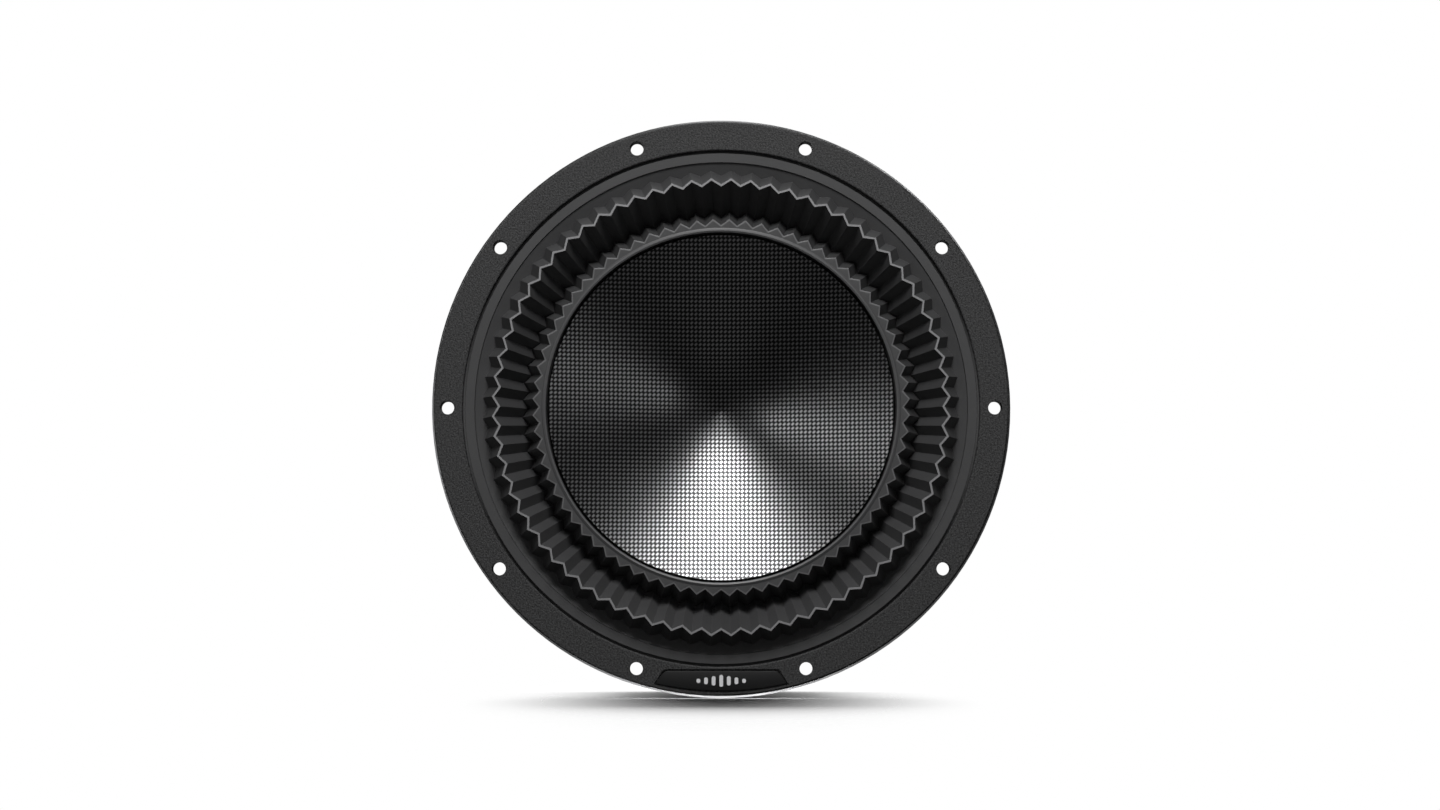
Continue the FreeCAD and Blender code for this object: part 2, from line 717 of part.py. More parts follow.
def make_parts():
    pole_front = motor_depth - pole_rise
    ring_front = back_plate_front - shorting_ring_height
    parts = {
        "basket": make_basket(),
        "basket_screws": make_basket_screws(),
        "front_gasket": make_front_gasket(),
        "badge_plate": make_badge_plate(),
        "badge_emblem": make_badge_emblem(),
        "surround": make_surround(),
        "cone_dish": make_cone_dish(),
        "cone_body": make_cone_body(),
        "coupler_ring": make_coupler_ring(),
        "voice_coil_former": ring(former_inner_radius, former_outer_radius, former_front,
                                  former_end),
        "voice_coil_inner": ring(former_outer_radius, coil_inner_outer_radius, coil_start,
                                 coil_end),
        "voice_coil_outer": ring(coil_inner_outer_radius, coil_radius, coil_start, coil_end),
        "spider": make_spider(),
        "spider_ring": ring(spider_land_inner + spider_thickness, spider_outer_radius,
                            shelf_depth, shelf_front),
        "top_plate": make_top_plate(),
        "magnet_front": ring(magnet_bore, magnet_radius, top_plate_back, magnet_middle),
        "magnet_rear": ring(magnet_bore, magnet_radius, magnet_middle, back_plate_front),
        "t_yoke": make_t_yoke(),
        "pole_cap": ring(pole_radius, pole_cap_radius, pole_front, ring_front),
        "shorting_ring": ring(pole_radius, pole_radius + shorting_ring_wall, ring_front,
                              back_plate_front),
        "vent_screen": make_vent_screen(),
        "magnet_boot": make_magnet_boot(),
    }
    parts.update(put_blocks())
    return parts


os.makedirs("parts", exist_ok=True)
for name, shape in make_parts().items():
    shape.exportStep("parts/" + name + ".step")
    print(name, "valid" if shape.isValid() else "BROKEN", round(shape.Volume))
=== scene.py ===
import bmesh
import bpy
import json
import math
from mathutils import Matrix, Vector
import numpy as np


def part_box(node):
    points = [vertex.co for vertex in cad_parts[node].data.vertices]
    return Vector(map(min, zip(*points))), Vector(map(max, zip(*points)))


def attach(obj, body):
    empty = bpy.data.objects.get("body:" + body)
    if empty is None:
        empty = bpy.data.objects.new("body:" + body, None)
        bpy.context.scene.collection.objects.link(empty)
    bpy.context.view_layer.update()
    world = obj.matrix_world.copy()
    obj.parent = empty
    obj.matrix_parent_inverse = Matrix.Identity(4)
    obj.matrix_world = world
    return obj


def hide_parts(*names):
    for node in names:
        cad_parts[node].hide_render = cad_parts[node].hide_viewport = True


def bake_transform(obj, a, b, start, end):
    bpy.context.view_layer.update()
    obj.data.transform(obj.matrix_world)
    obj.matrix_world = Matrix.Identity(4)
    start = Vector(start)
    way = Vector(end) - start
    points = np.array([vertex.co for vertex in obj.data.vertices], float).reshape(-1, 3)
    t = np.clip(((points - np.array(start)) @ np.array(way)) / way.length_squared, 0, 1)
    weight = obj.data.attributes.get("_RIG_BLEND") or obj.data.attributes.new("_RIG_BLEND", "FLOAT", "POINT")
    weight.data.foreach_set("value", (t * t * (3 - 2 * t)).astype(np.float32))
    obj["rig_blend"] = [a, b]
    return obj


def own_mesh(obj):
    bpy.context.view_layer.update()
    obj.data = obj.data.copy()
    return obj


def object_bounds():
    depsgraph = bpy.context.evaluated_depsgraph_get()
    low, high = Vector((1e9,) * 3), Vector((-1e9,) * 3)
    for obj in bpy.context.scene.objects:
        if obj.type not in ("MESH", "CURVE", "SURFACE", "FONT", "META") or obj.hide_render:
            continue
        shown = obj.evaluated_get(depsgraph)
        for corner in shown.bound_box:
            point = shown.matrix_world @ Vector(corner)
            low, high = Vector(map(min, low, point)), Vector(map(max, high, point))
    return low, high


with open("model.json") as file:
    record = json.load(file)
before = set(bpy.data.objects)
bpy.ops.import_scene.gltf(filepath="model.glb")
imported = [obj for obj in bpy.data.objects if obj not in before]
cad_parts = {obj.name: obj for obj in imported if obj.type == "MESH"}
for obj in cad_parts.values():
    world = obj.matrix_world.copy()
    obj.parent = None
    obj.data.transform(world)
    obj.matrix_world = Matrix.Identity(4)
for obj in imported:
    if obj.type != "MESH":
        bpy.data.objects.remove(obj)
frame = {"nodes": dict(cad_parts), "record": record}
cadLow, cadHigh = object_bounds()
nodes = frame["nodes"]
mm = 0.001

# The driver's axis is Y and its front faces -Y. Sizes in the dictionaries are millimetres.

stage = {
    "cameraDistance": 1600.0,
    "cameraElevation": -3.2,  # degrees, a little below the driver's axis
    "aimDepth": -8.0,
    "aimSide": -0.57,
    "aimHeight": 1.2,
    "lens": 84.0,
    "clipStart": 50.0,
    "clipEnd": 50000.0,
    "floorDrop": 0.3,
    "floorHalf": 900.0,
    "floorFadeStart": 30.0,
    "floorFadeEnd": 420.0,
    "floorSqueeze": 3.4,  # how much sooner the floor fades sideways than forwards
    "floorWhite": 0.9,
    "worldGlow": 0.03,
}

softboxes = {
    # size, direction from the driver, distance, power, and what it leaves out or is kept to
    "dishKey": {"size": (760, 560), "azimuth": 0, "elevation": 47, "distance": 1500, "power": 11.5,
                "only": ["wovenDish"]},
    "keyAbove": {"size": (700, 400), "azimuth": 0, "elevation": 46, "distance": 1500, "power": 18,
                 "without": ["floor", "wovenDish"]},
    "frontFill": {"size": (700, 700), "azimuth": 0, "elevation": 4, "distance": 1750, "power": 1.1,
                  "without": ["floor", "wovenDish"]},
    "overhead": {"size": (420, 700), "azimuth": 180, "elevation": 80, "distance": 1300, "power": 6,
                 "without": ["basket", "floor"]},
    "floorLight": {"size": (700, 500), "azimuth": 180, "elevation": 60, "distance": 1300, "power": 30,
                   "only": ["floor"]},
    "rimTop": {"size": (420, 700), "azimuth": 180, "elevation": 68, "distance": 1300, "power": 1.0,
               "only": ["basket"]},
    "leftStrip": {"size": (160, 500), "azimuth": -43, "elevation": 12, "distance": 1700, "power": 0.95,
                  "without": ["floor"]},
    "rightStrip": {"size": (160, 500), "azimuth": 43, "elevation": -6, "distance": 1700, "power": 0.42,
                   "without": ["floor", "basket"]},
    "frontBelow": {"size": (1100, 700), "azimuth": 0, "elevation": -46, "distance": 1500, "power": 0.12,
                   "without": ["floor"]},
    "rimBelow": {"size": (500, 300), "azimuth": 0, "elevation": -64, "distance": 1100, "power": 32,
                 "only": ["basket"]},
    "backKey": {"size": (900, 700), "azimuth": 145, "elevation": 38, "distance": 1500, "power": 26,
                "without": ["floor"]},
    "backFill": {"size": (900, 900), "azimuth": -140, "elevation": 14, "distance": 1600, "power": 12,
                 "without": ["floor"]},
    "rimLeft": {"size": (300, 700), "azimuth": -80, "elevation": -8, "distance": 1300, "power": 1.0,
                "only": ["basket"]},
}


def placeLight(name, spec):
    lamp = bpy.data.lights.new(name, "AREA")
    lamp.shape = "RECTANGLE"
    lamp.size = spec["size"][0] * mm
    lamp.size_y = spec["size"][1] * mm
    lamp.energy = spec["power"]
    holder = bpy.data.objects.new(name, lamp)
    azimuth = math.radians(spec["azimuth"])
    elevation = math.radians(spec["elevation"])
    away = Vector((math.sin(azimuth) * math.cos(elevation), -math.cos(azimuth) * math.cos(elevation),
                   math.sin(elevation)))
    holder.location = away * spec["distance"] * mm
    holder.rotation_mode = "QUATERNION"
    holder.rotation_quaternion = away.to_track_quat("Z", "Y")
    bpy.context.scene.collection.objects.link(holder)
    for key, state in (("only", "INCLUDE"), ("without", "EXCLUDE")):
        if key in spec:
            kept = bpy.data.collections.new(name + "Kept")
            for label in spec[key]:
                kept.objects.link(bpy.data.objects[label])
                kept.collection_objects[-1].light_linking.link_state = state
            holder.light_linking.receiver_collection = kept


def setCamera():
    lens = bpy.data.cameras.new("frontCamera")
    lens.lens = stage["lens"]
    lens.clip_start = stage["clipStart"] * mm
    lens.clip_end = stage["clipEnd"] * mm
    camera = bpy.data.objects.new("frontCamera", lens)
    elevation = math.radians(stage["cameraElevation"])
    away = Vector((0, -math.cos(elevation), math.sin(elevation)))
    aim = Vector((stage["aimSide"], stage["aimDepth"], stage["aimHeight"])) * mm
    camera.location = aim + away * stage["cameraDistance"] * mm
    camera.rotation_mode = "QUATERNION"
    camera.rotation_quaternion = away.to_track_quat("Z", "Y")
    bpy.context.scene.collection.objects.link(camera)
    bpy.context.scene.camera = camera


def addNode(tree, kind, values=None, **settings):
    node = tree.nodes.new(kind)
    for key, value in settings.items():
        setattr(node, key, value)
    for key, value in (values or {}).items():
        node.inputs[key].default_value = value
    return node


def join(tree, source, sourceSocket, target, targetSocket):
    tree.links.new(source.outputs[sourceSocket], target.inputs[targetSocket])


def calc(tree, operation, first, second=None, third=None):
    # one Math node; each input is a number or a socket
    node = tree.nodes.new("ShaderNodeMath")
    node.operation = operation
    for slot, value in enumerate((first, second, third)):
        if value is None:
            continue
        if isinstance(value, (int, float)):
            node.inputs[slot].default_value = value
        else:
            tree.links.new(value, node.inputs[slot])
    return node.outputs[0]


def newGroup(name, inputs, outputs):
    group = bpy.data.node_groups.new(name, "ShaderNodeTree")
    for label, kind, value in inputs:
        socket = group.interface.new_socket(label, in_out="INPUT", socket_type=kind)
        if value is not None:
            socket.default_value = value
    for label, kind in outputs:
        group.interface.new_socket(label, in_out="OUTPUT", socket_type=kind)
    return group, group.nodes.new("NodeGroupInput"), group.nodes.new("NodeGroupOutput")


# how high a thread stands before it is fully lit, and how far from its middle its side is dark
weaveShape = {"litLow": -0.35, "litHigh": 0.55, "gapHalf": 0.5, "threadHalf": 0.22}


def makeWeaveGroup():
    # a plain weave in the plane of two coordinates, both counted in threads
    group, inward, outward = newGroup(
        "plainWeave",
        [("Across", "NodeSocketFloat", 0.0), ("Along", "NodeSocketFloat", 0.0),
         ("Warp Float", "NodeSocketFloat", 0.0)],
        [("Height", "NodeSocketFloat"), ("Warp", "NodeSocketFloat"), ("Thread", "NodeSocketFloat"),
         ("Warp Side", "NodeSocketFloat"), ("Weft Side", "NodeSocketFloat")])
    across = inward.outputs["Across"]
    along = inward.outputs["Along"]
    halfAcross = calc(group, "SUBTRACT", calc(group, "FRACT", across), 0.5)
    halfAlong = calc(group, "SUBTRACT", calc(group, "FRACT", along), 0.5)
    parity = calc(group, "ADD", calc(group, "FLOOR", across), calc(group, "FLOOR", along))
    parity = calc(group, "MULTIPLY", parity, 0.5)
    sign = calc(group, "SUBTRACT", calc(group, "MULTIPLY", calc(group, "FRACT", parity), 4.0), 1.0)
    waveAlong = calc(group, "COSINE", calc(group, "MULTIPLY", halfAlong, math.pi))
    waveAcross = calc(group, "COSINE", calc(group, "MULTIPLY", halfAcross, math.pi))
    roundAcross = calc(group, "MULTIPLY", calc(group, "MULTIPLY", halfAcross, halfAcross), -4.0)
    roundAlong = calc(group, "MULTIPLY", calc(group, "MULTIPLY", halfAlong, halfAlong), -4.0)
    warp = calc(group, "ADD", calc(group, "MULTIPLY", sign, waveAlong), roundAcross)
    warp = calc(group, "ADD", warp, inward.outputs["Warp Float"])
    weft = calc(group, "ADD", calc(group, "MULTIPLY", sign, calc(group, "MULTIPLY", waveAcross, -1.0)),
                roundAlong)
    height = calc(group, "MAXIMUM", warp, weft)
    group.links.new(height, outward.inputs["Height"])
    group.links.new(calc(group, "GREATER_THAN", warp, weft), outward.inputs["Warp"])
    lit = addNode(group, "ShaderNodeMapRange",
                  {"From Min": weaveShape["litLow"], "From Max": weaveShape["litHigh"]},
                  interpolation_type="SMOOTHSTEP")
    group.links.new(height, lit.inputs["Value"])
    group.links.new(lit.outputs["Result"], outward.inputs["Thread"])
    for half, label in ((halfAcross, "Warp Side"), (halfAlong, "Weft Side")):
        # 0 in the gap between two threads, 1 along a thread's middle; the dish uses it for painted shade
        # between threads
        side = addNode(group, "ShaderNodeMapRange",
                       {"From Min": weaveShape["gapHalf"], "From Max": weaveShape["threadHalf"]},
                       interpolation_type="SMOOTHSTEP")
        group.links.new(calc(group, "ABSOLUTE", half), side.inputs["Value"])
        group.links.new(side.outputs["Result"], outward.inputs[label])
    return group


grainShape = {"fineDetail": 3.0, "fineRough": 0.6, "slowDetail": 2.0, "slowRough": 0.5,
              "fleckLow": 0.35, "fleckHigh": 0.68}


def makeGrainGroup():
    # moulded or cast grain: a height for bump, and a slow tone for colour and gloss
    group, inward, outward = newGroup(
        "surfaceGrain",
        [("Vector", "NodeSocketVector", None), ("Grain", "NodeSocketFloat", 1000.0),
         ("Patch", "NodeSocketFloat", 20.0)],
        [("Height", "NodeSocketFloat"), ("Tone", "NodeSocketFloat"), ("Fleck", "NodeSocketFloat")])
    fine = addNode(group, "ShaderNodeTexNoise",
                   {"Detail": grainShape["fineDetail"], "Roughness": grainShape["fineRough"]})
    slow = addNode(group, "ShaderNodeTexNoise",
                   {"Detail": grainShape["slowDetail"], "Roughness": grainShape["slowRough"]})
    for texture, scale in ((fine, "Grain"), (slow, "Patch")):
        join(group, inward, "Vector", texture, "Vector")
        join(group, inward, scale, texture, "Scale")
    fleck = addNode(group, "ShaderNodeMapRange",
                    {"From Min": grainShape["fleckLow"], "From Max": grainShape["fleckHigh"]})
    join(group, fine, "Fac", fleck, "Value")
    join(group, fine, "Fac", outward, "Height")
    join(group, slow, "Fac", outward, "Tone")
    join(group, fleck, "Result", outward, "Fleck")
    return group


weaveGroup = makeWeaveGroup()
grainGroup = makeGrainGroup()


def startMaterial(name):
    material = bpy.data.materials.new(name)
    material.use_nodes = True
    tree = material.node_tree
    tree.nodes.clear()
    output = tree.nodes.new("ShaderNodeOutputMaterial")
    surface = tree.nodes.new("ShaderNodeBsdfPrincipled")
    join(tree, surface, "BSDF", output, "Surface")
    place = tree.nodes.new("ShaderNodeTexCoord")
    return material, tree, surface, place


def addGrain(tree, place, grainMm, patchMm):
    grain = addNode(tree, "ShaderNodeGroup", node_tree=grainGroup)
    grain.inputs["Grain"].default_value = 1.0 / (grainMm * mm)
    grain.inputs["Patch"].default_value = 1.0 / (patchMm * mm)
    join(tree, place, "Object", grain, "Vector")
    return grain


def toneColor(tree, factor, dark, light):
    # a colour Mix node, whose inputs 6 and 7 are its colours; each is three numbers or a socket
    mix = addNode(tree, "ShaderNodeMix", data_type="RGBA")
    tree.links.new(factor, mix.inputs[0])
    for slot, color in ((6, dark), (7, light)):
        if isinstance(color, tuple):
            mix.inputs[slot].default_value = (*color, 1)
        else:
            tree.links.new(color, mix.inputs[slot])
    return mix.outputs[2]


def spread(tree, value, low, high):
    ranged = addNode(tree, "ShaderNodeMapRange", {"To Min": low, "To Max": high})
    tree.links.new(value, ranged.inputs["Value"])
    return ranged.outputs["Result"]


def addBump(tree, surface, height, depthMm):
    bump = addNode(tree, "ShaderNodeBump", {"Strength": 1.0, "Distance": depthMm * mm})
    tree.links.new(height, bump.inputs["Height"])
    join(tree, bump, "Normal", surface, "Normal")


def splitPlace(tree, place, space="Object"):
    parts = addNode(tree, "ShaderNodeSeparateXYZ")
    join(tree, place, space, parts, "Vector")
    return parts


def axisDistance(tree, parts):
    # distance from the driver's axis, in millimetres
    square = calc(tree, "ADD", calc(tree, "POWER", calc(tree, "ABSOLUTE", parts.outputs["X"]), 2.0),
                  calc(tree, "POWER", calc(tree, "ABSOLUTE", parts.outputs["Z"]), 2.0))
    return calc(tree, "DIVIDE", calc(tree, "SQRT", square), mm)


def plainFinish(name, dark, light, rough=(0.4, 0.55), grain=0.5, patch=25.0, depth=0.05, metal=0.0,
                fleckShare=0.5, specular=0.5):
    # a moulded, cast or plated surface: grain in colour and height, patches in gloss
    material, tree, surface, place = startMaterial(name)
    texture = addGrain(tree, place, grain, patch)
    mixed = calc(tree, "ADD", calc(tree, "MULTIPLY", texture.outputs["Fleck"], fleckShare),
                 calc(tree, "MULTIPLY", texture.outputs["Tone"], 1 - fleckShare))
    tree.links.new(toneColor(tree, mixed, dark, light), surface.inputs["Base Color"])
    tree.links.new(spread(tree, texture.outputs["Tone"], *rough), surface.inputs["Roughness"])
    surface.inputs["Metallic"].default_value = metal
    surface.inputs["Specular IOR Level"].default_value = specular
    addBump(tree, surface, texture.outputs["Height"], depth)
    return material


def gray(value):
    return (value, value, value * 1.02)


finishes = {
    "gasket_rubber": plainFinish("gasketRubber", gray(0.002), gray(0.062), rough=(0.55, 0.7), grain=0.8,
                                 patch=40, depth=0.3, fleckShare=0.97),
    "badge_plastic": plainFinish("badgePlastic", gray(0.014), gray(0.018), rough=(0.42, 0.5), grain=0.3,
                                 patch=30, depth=0.004, specular=0.2),
    "emblem_paint": plainFinish("emblemPaint", gray(0.78), gray(0.86), rough=(0.4, 0.5), grain=0.3, patch=5,
                                depth=0.01),
    "cone_pulp": plainFinish("conePulp", gray(0.012), gray(0.030), rough=(0.8, 0.95), grain=1.4, patch=12,
                             depth=0.25, fleckShare=0.7),
    "coupler_plastic": plainFinish("couplerPlastic", gray(0.018), gray(0.026), depth=0.02),
    "former_film": plainFinish("formerFilm", (0.42, 0.17, 0.03), (0.55, 0.26, 0.06), rough=(0.25, 0.35),
                               grain=0.6, depth=0.01),
    "spacer_board": plainFinish("spacerBoard", (0.10, 0.075, 0.05), (0.16, 0.125, 0.085), rough=(0.8, 0.9),
                                grain=0.8, depth=0.08),
    "plated_steel": plainFinish("platedSteel", gray(0.05), gray(0.075), rough=(0.30, 0.42), grain=0.6,
                                patch=18, depth=0.015, metal=1.0),
    "ferrite": plainFinish("ferrite", gray(0.04), gray(0.06), rough=(0.5, 0.65), grain=0.7, depth=0.05),
    "bare_copper": plainFinish("bareCopper", (0.72, 0.36, 0.20), (0.80, 0.45, 0.27), rough=(0.22, 0.35),
                               grain=1.0, depth=0.01, metal=1.0),
    "ring_aluminium": plainFinish("ringAluminium", gray(0.62), gray(0.72), rough=(0.3, 0.4), metal=1.0,
                                  depth=0.01),
    "boot_rubber": plainFinish("bootRubber", gray(0.022), gray(0.036), rough=(0.48, 0.62), grain=0.5,
                               patch=35, depth=0.03, fleckShare=0.4),
    "screw_steel": plainFinish("screwSteel", gray(0.06), gray(0.10), rough=(0.25, 0.38), grain=0.4, patch=4,
                               depth=0.01, metal=1.0),
    "screen_steel": plainFinish("screenSteel", gray(0.10), gray(0.15), rough=(0.35, 0.45), grain=0.4,
                                depth=0.01, metal=1.0),
    "block_plastic": plainFinish("blockPlastic", gray(0.016), gray(0.022), rough=(0.28, 0.4), grain=0.4,
                                 depth=0.02),
    "button_red": plainFinish("buttonRed", (0.42, 0.012, 0.010), (0.5, 0.02, 0.015), rough=(0.25, 0.35),
                              grain=0.4, depth=0.008),
    "button_black": plainFinish("buttonBlack", gray(0.022), gray(0.030), rough=(0.25, 0.35), grain=0.4,
                                depth=0.008),
    "spring_steel": plainFinish("springSteel", gray(0.55), gray(0.65), rough=(0.2, 0.3), grain=0.3,
                                metal=1.0, depth=0.003),
    "tag_brass": plainFinish("tagBrass", (0.66, 0.62, 0.50), (0.74, 0.70, 0.58), rough=(0.3, 0.4),
                             grain=0.4, metal=1.0, depth=0.006),
}

# edge is the pale colour of the painted highlight along the rubber's crests, folds, lip and bead
rubberLook = {"dark": 0.050, "light": 0.066, "edge": 0.28, "roughLow": 0.38, "roughHigh": 0.5,
              "edgeGloss": 0.12, "grain": 0.35, "grainDepth": 0.010, "patch": 30.0, "fleckShare": 0.25}


def rubberFinish():
    # moulded rubber, glossier along the edges that its face attribute marks, and paler there as a painted
    # highlight
    material, tree, surface, place = startMaterial("surroundRubber")
    texture = addGrain(tree, place, rubberLook["grain"], rubberLook["patch"])
    edge = addNode(tree, "ShaderNodeAttribute", attribute_name="paintedEdgeHighlight")
    mixed = calc(tree, "ADD", calc(tree, "MULTIPLY", texture.outputs["Fleck"], rubberLook["fleckShare"]),
                 calc(tree, "MULTIPLY", texture.outputs["Tone"], 1 - rubberLook["fleckShare"]))
    body = toneColor(tree, mixed, gray(rubberLook["dark"]), gray(rubberLook["light"]))
    color = toneColor(tree, edge.outputs["Fac"], body, gray(rubberLook["edge"]))
    tree.links.new(color, surface.inputs["Base Color"])
    rough = spread(tree, texture.outputs["Tone"], rubberLook["roughLow"], rubberLook["roughHigh"])
    tree.links.new(calc(tree, "MULTIPLY_ADD", edge.outputs["Fac"], -rubberLook["edgeGloss"], rough),
                   surface.inputs["Roughness"])
    addBump(tree, surface, texture.outputs["Height"], rubberLook["grainDepth"])
    return material


basketLook = {"rimStart": 136.6, "coatGrain": 0.45, "coatPatch": 30.0, "coatDepth": 0.05,
              "coatDark": 0.012, "coatLight": 0.034, "coatRough": (0.5, 0.62),
              "rimDark": 0.55, "rimLight": 0.65, "rimGloss": 0.28,
              "turningPitch": 0.16, "turningHeight": 0.04}


def basketFinish():
    # black powder coat, with the rim turned bright
    material, tree, surface, place = startMaterial("basketCoat")
    radius = axisDistance(tree, splitPlace(tree, place))
    bright = calc(tree, "GREATER_THAN", radius, basketLook["rimStart"])
    texture = addGrain(tree, place, basketLook["coatGrain"], basketLook["coatPatch"])
    coat = toneColor(tree, texture.outputs["Fleck"], gray(basketLook["coatDark"]),
                     gray(basketLook["coatLight"]))
    metal = toneColor(tree, texture.outputs["Tone"], gray(basketLook["rimDark"]),
                      gray(basketLook["rimLight"]))
    tree.links.new(toneColor(tree, bright, coat, metal), surface.inputs["Base Color"])
    tree.links.new(bright, surface.inputs["Metallic"])
    rough = calc(tree, "ADD", calc(tree, "MULTIPLY", bright, -basketLook["rimGloss"]),
                 spread(tree, texture.outputs["Tone"], *basketLook["coatRough"]))
    tree.links.new(rough, surface.inputs["Roughness"])
    turns = calc(tree, "MULTIPLY", radius, 2 * math.pi / basketLook["turningPitch"])
    turning = calc(tree, "MULTIPLY", calc(tree, "SINE", turns), basketLook["turningHeight"])
    grain = calc(tree, "MULTIPLY", texture.outputs["Height"], calc(tree, "SUBTRACT", 1.0, bright))
    addBump(tree, surface, calc(tree, "ADD", grain, calc(tree, "MULTIPLY", turning, bright)),
            basketLook["coatDepth"])
    return material


dishShape = {"edge": 82.6, "edgeDepth": -10.8, "backDepth": -9.0, "seat": 2.4, "slope": 22.0,
             "bowlRadius": 119.0, "apexSlope": 7.5, "bowlSteps": 24, "around": 288}

# warp and weft are how bright each family of threads is, the warp painted far brighter as a glint on that
# family; gap is the painted shade between threads and at the dish's edge
dishLook = {"threadPitch": 1.43, "threadDepth": 0.018, "warp": 0.52, "weft": 0.045, "gap": 0.001,
            "weftGap": 0.25, "warpFloat": 0.35, "gapShadeWidth": 0.55, "roughLow": 0.27, "roughHigh": 0.33,
            "grain": 0.25, "patch": 22.0}


def dishFinish():
    # glossy woven fibre, its threads at 45 degrees to the upright, with a black line painted round its edge
    # as the shade in the gap by the bead
    material, tree, surface, place = startMaterial("wovenFibre")
    parts = splitPlace(tree, place)
    pitch = dishLook["threadPitch"] * mm * math.sqrt(2)
    across = calc(tree, "DIVIDE", calc(tree, "SUBTRACT", parts.outputs["X"], parts.outputs["Z"]), pitch)
    along = calc(tree, "DIVIDE", calc(tree, "ADD", parts.outputs["X"], parts.outputs["Z"]), pitch)
    weave = addNode(tree, "ShaderNodeGroup", node_tree=weaveGroup)
    tree.links.new(across, weave.inputs["Across"])
    tree.links.new(along, weave.inputs["Along"])
    weave.inputs["Warp Float"].default_value = dishLook["warpFloat"]
    texture = addGrain(tree, place, dishLook["grain"], dishLook["patch"])
    family = calc(tree, "MULTIPLY_ADD", weave.outputs["Warp"], dishLook["warp"] - dishLook["weft"],
                  dishLook["weft"])
    # threads are painted darker towards their sides, as shade between them
    sides = calc(tree, "MULTIPLY", weave.outputs["Warp Side"],
                 calc(tree, "MULTIPLY_ADD", weave.outputs["Weft Side"], dishLook["weftGap"],
                      1.0 - dishLook["weftGap"]))
    color = toneColor(tree, calc(tree, "MULTIPLY", sides, family), gray(dishLook["gap"]), gray(1.0))
    # a black ring painted round the dish's edge as painted shade in the gap
    paintedGapShade = calc(tree, "GREATER_THAN", axisDistance(tree, parts), dishShape["edge"] - dishLook["gapShadeWidth"])
    tree.links.new(toneColor(tree, paintedGapShade, color, gray(dishLook["gap"])), surface.inputs["Base Color"])
    surface.inputs["Metallic"].default_value = 1.0
    tree.links.new(spread(tree, texture.outputs["Tone"], dishLook["roughLow"], dishLook["roughHigh"]),
                   surface.inputs["Roughness"])
    addBump(tree, surface, weave.outputs["Height"], dishLook["threadDepth"])
    return material


spiderLook = {"threadPitch": 0.9, "threadDepth": 0.12, "dark": (0.16, 0.10, 0.03),
              "light": (0.50, 0.36, 0.15), "grain": 0.4, "patch": 15.0, "rough": (0.6, 0.8)}


def spiderFinish():
    # stiffened cotton cloth, painted darker between its threads and paler on their tops as shade
    material, tree, surface, place = startMaterial("spiderCloth")
    parts = splitPlace(tree, place)
    pitch = spiderLook["threadPitch"] * mm
    weave = addNode(tree, "ShaderNodeGroup", node_tree=weaveGroup)
    tree.links.new(calc(tree, "DIVIDE", parts.outputs["X"], pitch), weave.inputs["Across"])
    tree.links.new(calc(tree, "DIVIDE", parts.outputs["Z"], pitch), weave.inputs["Along"])
    tree.links.new(toneColor(tree, weave.outputs["Thread"], spiderLook["dark"], spiderLook["light"]),
                   surface.inputs["Base Color"])
    texture = addGrain(tree, place, spiderLook["grain"], spiderLook["patch"])
    rough = spread(tree, texture.outputs["Tone"], *spiderLook["rough"])
    tree.links.new(rough, surface.inputs["Roughness"])
    addBump(tree, surface, weave.outputs["Height"], spiderLook["threadDepth"])
    return material


windingLook = {"wirePitch": 0.55, "wireDepth": 0.15, "dark": (0.20, 0.06, 0.02),
               "light": (0.78, 0.32, 0.12), "grain": 0.6, "patch": 10.0, "rough": (0.2, 0.35)}


def windingFinish():
    # round enamelled wire, wound side by side along the axis, painted darker in the grooves between turns as
    # shade
    material, tree, surface, place = startMaterial("woundCopper")
    depth = calc(tree, "DIVIDE", splitPlace(tree, place).outputs["Y"], mm)
    turn = calc(tree, "MULTIPLY", depth, math.pi / windingLook["wirePitch"])
    turn = calc(tree, "ABSOLUTE", calc(tree, "SINE", turn))
    tree.links.new(toneColor(tree, turn, windingLook["dark"], windingLook["light"]),
                   surface.inputs["Base Color"])
    surface.inputs["Metallic"].default_value = 1.0
    texture = addGrain(tree, place, windingLook["grain"], windingLook["patch"])
    rough = spread(tree, texture.outputs["Tone"], *windingLook["rough"])
    tree.links.new(rough, surface.inputs["Roughness"])
    addBump(tree, surface, turn, windingLook["wireDepth"])
    return material


braidLook = {"dark": (0.10, 0.06, 0.03), "light": (0.80, 0.62, 0.45), "grain": 0.5, "patch": 10.0,
             "rough": (0.25, 0.4), "strandDepth": 0.1}


def braidFinish():
    # flat copper strands braided round a core, read from the lead's own UV map, painted darker where strands
    # dip as shade
    material, tree, surface, place = startMaterial("tinselBraid")
    parts = splitPlace(tree, place, "UV")
    weave = addNode(tree, "ShaderNodeGroup", node_tree=weaveGroup)
    tree.links.new(calc(tree, "ADD", parts.outputs["X"], parts.outputs["Y"]), weave.inputs["Across"])
    tree.links.new(calc(tree, "SUBTRACT", parts.outputs["X"], parts.outputs["Y"]), weave.inputs["Along"])
    tree.links.new(toneColor(tree, weave.outputs["Thread"], braidLook["dark"], braidLook["light"]),
                   surface.inputs["Base Color"])
    surface.inputs["Metallic"].default_value = 1.0
    texture = addGrain(tree, place, braidLook["grain"], braidLook["patch"])
    rough = spread(tree, texture.outputs["Tone"], *braidLook["rough"])
    tree.links.new(rough, surface.inputs["Roughness"])
    addBump(tree, surface, weave.outputs["Height"], braidLook["strandDepth"])
    return material


finishes["surround_rubber"] = rubberFinish()
finishes["basket_metal"] = basketFinish()
finishes["dish_weave"] = dishFinish()
finishes["spider_cloth"] = spiderFinish()
finishes["copper_wire"] = windingFinish()
finishes["tinsel"] = braidFinish()
print("materials made:", len(finishes))


weldWithin = 0.001 * mm


